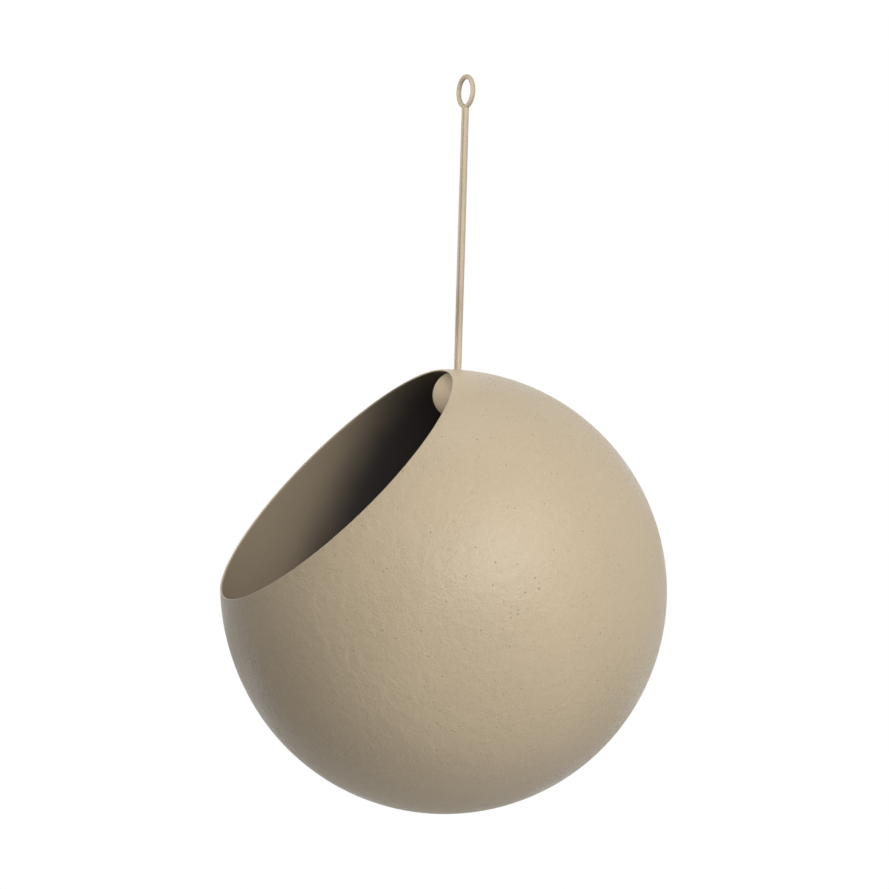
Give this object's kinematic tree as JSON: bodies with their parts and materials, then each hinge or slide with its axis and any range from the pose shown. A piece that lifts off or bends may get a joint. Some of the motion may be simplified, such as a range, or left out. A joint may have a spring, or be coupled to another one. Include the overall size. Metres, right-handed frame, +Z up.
{
  "type": "hanging planter",
  "caption": "Hanging planter: a ball-shaped sheet-metal pot with a slanted round mouth, hung on a doubled wire that has an eye at its top and a seat ball inside the pot.",
  "frame": {"origin": "where the hook bears on the inside of the hanger's eye, at the top of its hole", "axes": "+Z up; the pot's mouth faces -X and up; the XZ plane is the pot's plane of symmetry and the plane in which the hanger leans"},
  "size_m": [0.2099, 0.21, 0.35],
  "materials": {
    "pot_coat": "fine-texture matt powder coat, warm sand",
    "hanger_coat": "thin powder coat on wire, warm sand",
    "ball_coat": "smooth powder coat, warm sand"
  },
  "bodies": {
    "hanger": {"hanger_wire": "hanger_coat"},
    "ball": {"seat_ball": "ball_coat"},
    "pot": {"pot_shell": "pot_coat"}
  },
  "joints": [
    {"name": "swivel", "type": "hinge", "parent": "hanger", "child": "ball", "pos_m": [-0.00471, 0, -0.14993], "axis": [0.0314, 0, 0.9995], "continuous": true},
    {"name": "tilt", "type": "hinge", "parent": "ball", "child": "pot", "pos_m": [-0.00471, 0, -0.14993], "axis": [0, 1, 0], "range_deg": [-10, 6]}
  ]
}
